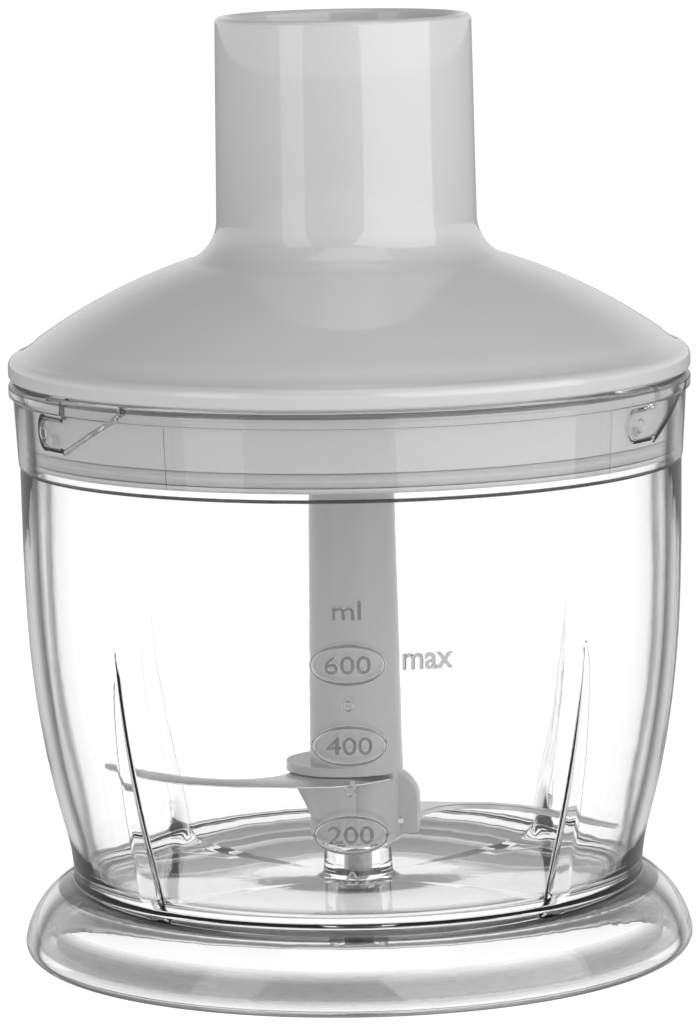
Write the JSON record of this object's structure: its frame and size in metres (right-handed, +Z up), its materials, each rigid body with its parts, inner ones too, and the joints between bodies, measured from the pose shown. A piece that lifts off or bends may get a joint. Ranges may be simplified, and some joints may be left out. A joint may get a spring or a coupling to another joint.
{
  "type": "hand blender chopper attachment",
  "caption": "Clear chopper bowl with a twist-on geared lid and S-blades on a centre post; a hand blender's motor body plugs into the collar and drives the blades.",
  "frame": {"origin": "centre of the base, on the surface it stands on", "axes": "+Z up along the axis of the bowl, the post and the collar; -Y is the front, where the scale marks are"},
  "size_m": [0.138, 0.138, 0.1907],
  "materials": {
    "clear_plastic": "clear, polished",
    "foot_silicone": "translucent, fine texture",
    "pin_steel": "polished",
    "seal_silicone": "soft satin",
    "lid_plastic": "gloss, light grey",
    "post_plastic": "satin, mid grey",
    "housing_plastic": "moulded",
    "gear_plastic": "natural acetal",
    "coupling_plastic": "moulded",
    "bush_bronze": "sintered",
    "seal_rubber": "black",
    "blade_steel": "satin, fine grinding lines",
    "shaft_steel": "ground",
    "screw_steel": "zinc plated"
  },
  "bodies": {
    "bowl": {"bowl": "clear_plastic", "foot_ring": "foot_silicone", "centre_pin": "pin_steel"},
    "seal_ring": {"lid_seal": "seal_silicone"},
    "lid": {"lid_cover": "lid_plastic", "lid_base": "lid_plastic", "gear_housing": "housing_plastic", "housing_screws": "screw_steel", "ring_gear": "gear_plastic", "input_bush": "bush_bronze", "output_bush": "bush_bronze", "shaft_seal": "seal_rubber"},
    "input": {"drive_socket": "coupling_plastic", "sun_pinion": "shaft_steel", "input_clip": "shaft_steel"},
    "carrier": {"carrier": "gear_plastic", "carrier_cover": "shaft_steel", "planet_pins": "shaft_steel", "output_shaft": "shaft_steel", "output_driver": "coupling_plastic"},
    "planet_1": {"planet_gear_1": "gear_plastic"},
    "planet_2": {"planet_gear_2": "gear_plastic"},
    "planet_3": {"planet_gear_3": "gear_plastic"},
    "blade_unit": {"blade_post": "post_plastic", "blade_hub": "post_plastic", "upper_blade": "blade_steel", "lower_blade": "blade_steel", "lower_bush": "bush_bronze", "upper_bush": "bush_bronze"}
  },
  "joints": [
    {"name": "lid_lift", "type": "slide", "parent": "bowl", "child": "seal_ring", "axis": [0, 0, 1], "range_m": [0, 0.034]},
    {"name": "lid_turn", "type": "hinge", "parent": "seal_ring", "child": "lid", "pos_m": [0, 0, 0.11], "axis": [0, 0, 1], "range_deg": [0, 60]},
    {"name": "drive_spin", "type": "hinge", "parent": "lid", "child": "input", "pos_m": [0, 0, 0.145], "axis": [0, 0, 1], "continuous": true},
    {"name": "carrier_spin", "type": "hinge", "parent": "lid", "child": "carrier", "pos_m": [0, 0, 0.11], "axis": [0, 0, 1], "continuous": true},
    {"name": "planet_spin_1", "type": "hinge", "parent": "carrier", "child": "planet_1", "pos_m": [0.012, 0, 0.117], "axis": [0, 0, 1], "continuous": true},
    {"name": "planet_spin_2", "type": "hinge", "parent": "carrier", "child": "planet_2", "pos_m": [-0.006, 0.01039, 0.117], "axis": [0, 0, 1], "continuous": true},
    {"name": "planet_spin_3", "type": "hinge", "parent": "carrier", "child": "planet_3", "pos_m": [-0.006, -0.01039, 0.117], "axis": [0, 0, 1], "continuous": true},
    {"name": "blade_spin", "type": "hinge", "parent": "bowl", "child": "blade_unit", "pos_m": [0, 0, 0.04], "axis": [0, 0, 1], "continuous": true}
  ],
  "couplings": [
    {"joint": "lid_lift", "follows": "lid_turn", "m_per_rad": 0.0324},
    {"joint": "carrier_spin", "follows": "drive_spin", "ratio": 0.25},
    {"joint": "blade_spin", "follows": "drive_spin", "ratio": 0.25},
    {"joint": "planet_spin_1", "follows": "drive_spin", "ratio": -0.75},
    {"joint": "planet_spin_2", "follows": "drive_spin", "ratio": -0.75},
    {"joint": "planet_spin_3", "follows": "drive_spin", "ratio": -0.75}
  ]
}
